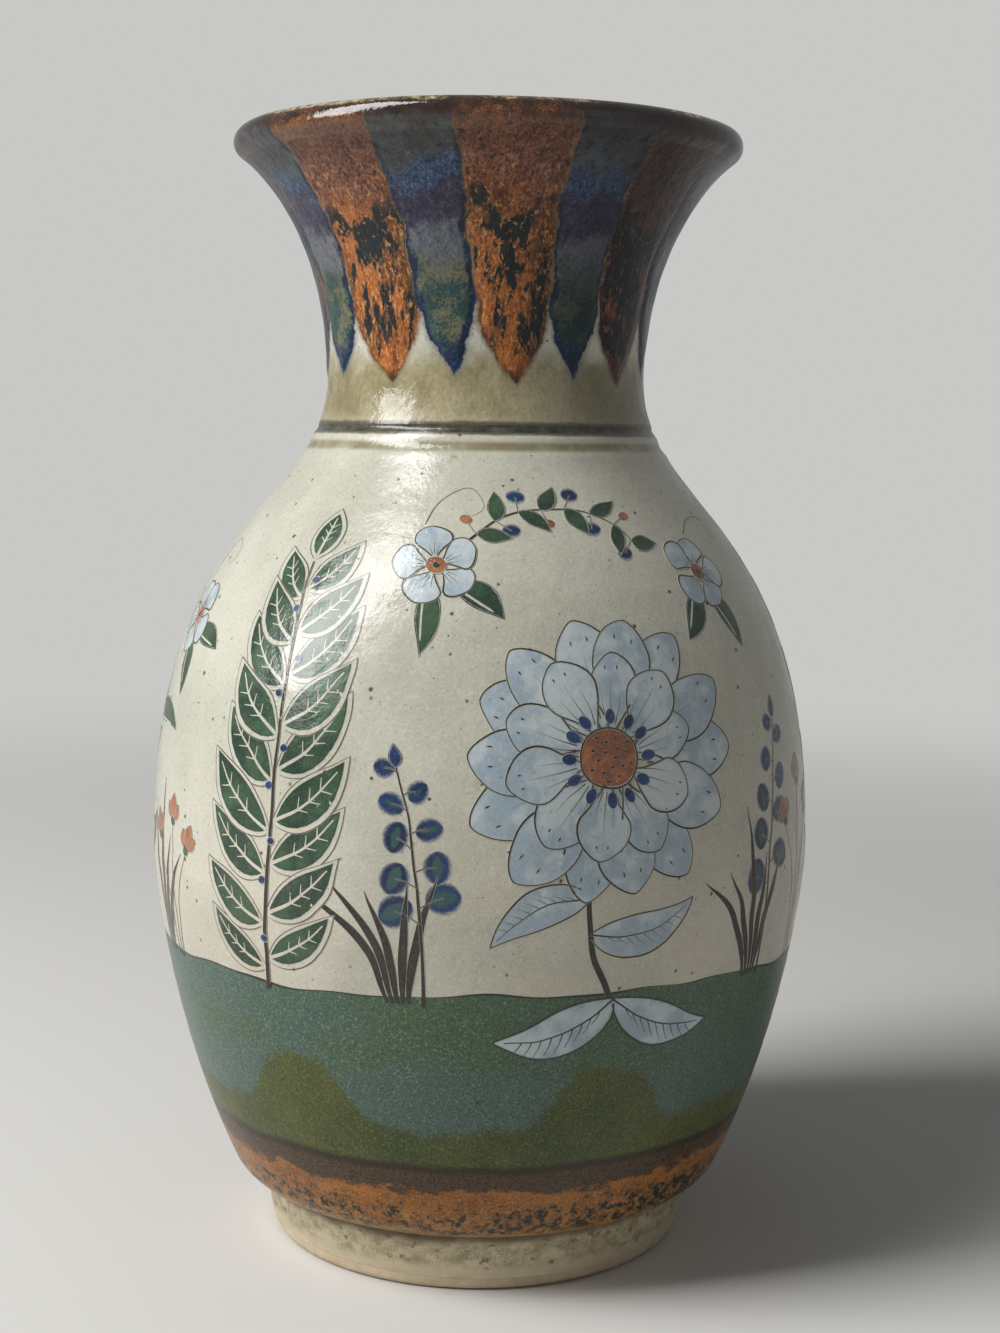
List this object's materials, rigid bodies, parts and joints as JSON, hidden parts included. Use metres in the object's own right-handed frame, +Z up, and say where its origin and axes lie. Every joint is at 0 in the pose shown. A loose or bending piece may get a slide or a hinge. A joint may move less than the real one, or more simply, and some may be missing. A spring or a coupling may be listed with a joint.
{
  "type": "vase",
  "caption": "Full-bellied stoneware flower vase with a turned foot, a grooved collar, a flared mouth and a rounded lip, glazed in bands with pointed tongues on its neck.",
  "frame": {"origin": "centre of the foot's underside, on the surface that the vase stands on", "axes": "+Z up along the wheel axis, -Y towards the front, +X to the front's right"},
  "size_m": [0.1534, 0.1534, 0.2551],
  "materials": {
    "stoneware_clay": "bare fired stoneware, matt and slightly sandy",
    "thin_celadon_glaze": "thin grey-cream glaze, pitted and satin",
    "rust_glaze": "rust saturated glaze with near-black breaks, satin gloss",
    "brown_glaze": "dark brown glaze breaking to honey at edges, glossy",
    "olive_glaze": "olive green glaze, fine pale speckle, satin gloss",
    "slate_green_glaze": "grey-green glaze clouded with slate blue, satin gloss",
    "cream_glaze": "clear glaze on grey-cream stoneware with iron specks, glossy",
    "iron_ink": "thin dark iron line under clear glaze, glossy",
    "beige_glaze": "olive-beige mottled glaze, glossy",
    "blue_glaze": "mottled blue-green glaze with cobalt edges, glossy",
    "liner_glaze": "grey-beige liner glaze, glossy"
  },
  "bodies": {
    "root": {"foot_ring": "stoneware_clay", "floor_disc": "stoneware_clay", "bowl_wall": "stoneware_clay", "shoulder_wall": "stoneware_clay", "neck_wall": "stoneware_clay", "lip_ring": "stoneware_clay", "foot_glaze": "thin_celadon_glaze", "rust_band": "rust_glaze", "brown_band": "brown_glaze", "olive_band": "olive_glaze", "ground_band": "slate_green_glaze", "belly_glaze": "cream_glaze", "collar_line": "iron_ink", "neck_glaze": "beige_glaze", "lip_glaze": "brown_glaze", "liner_glaze": "liner_glaze", "rust_tongue_1": "rust_glaze", "rust_tongue_2": "rust_glaze", "rust_tongue_3": "rust_glaze", "rust_tongue_4": "rust_glaze", "rust_tongue_5": "rust_glaze", "rust_tongue_6": "rust_glaze", "rust_tongue_7": "rust_glaze", "rust_tongue_8": "rust_glaze", "blue_tongue_1": "blue_glaze", "blue_tongue_2": "blue_glaze", "blue_tongue_3": "blue_glaze", "blue_tongue_4": "blue_glaze", "blue_tongue_5": "blue_glaze", "blue_tongue_6": "blue_glaze", "blue_tongue_7": "blue_glaze", "blue_tongue_8": "blue_glaze"}
  },
  "joints": []
}
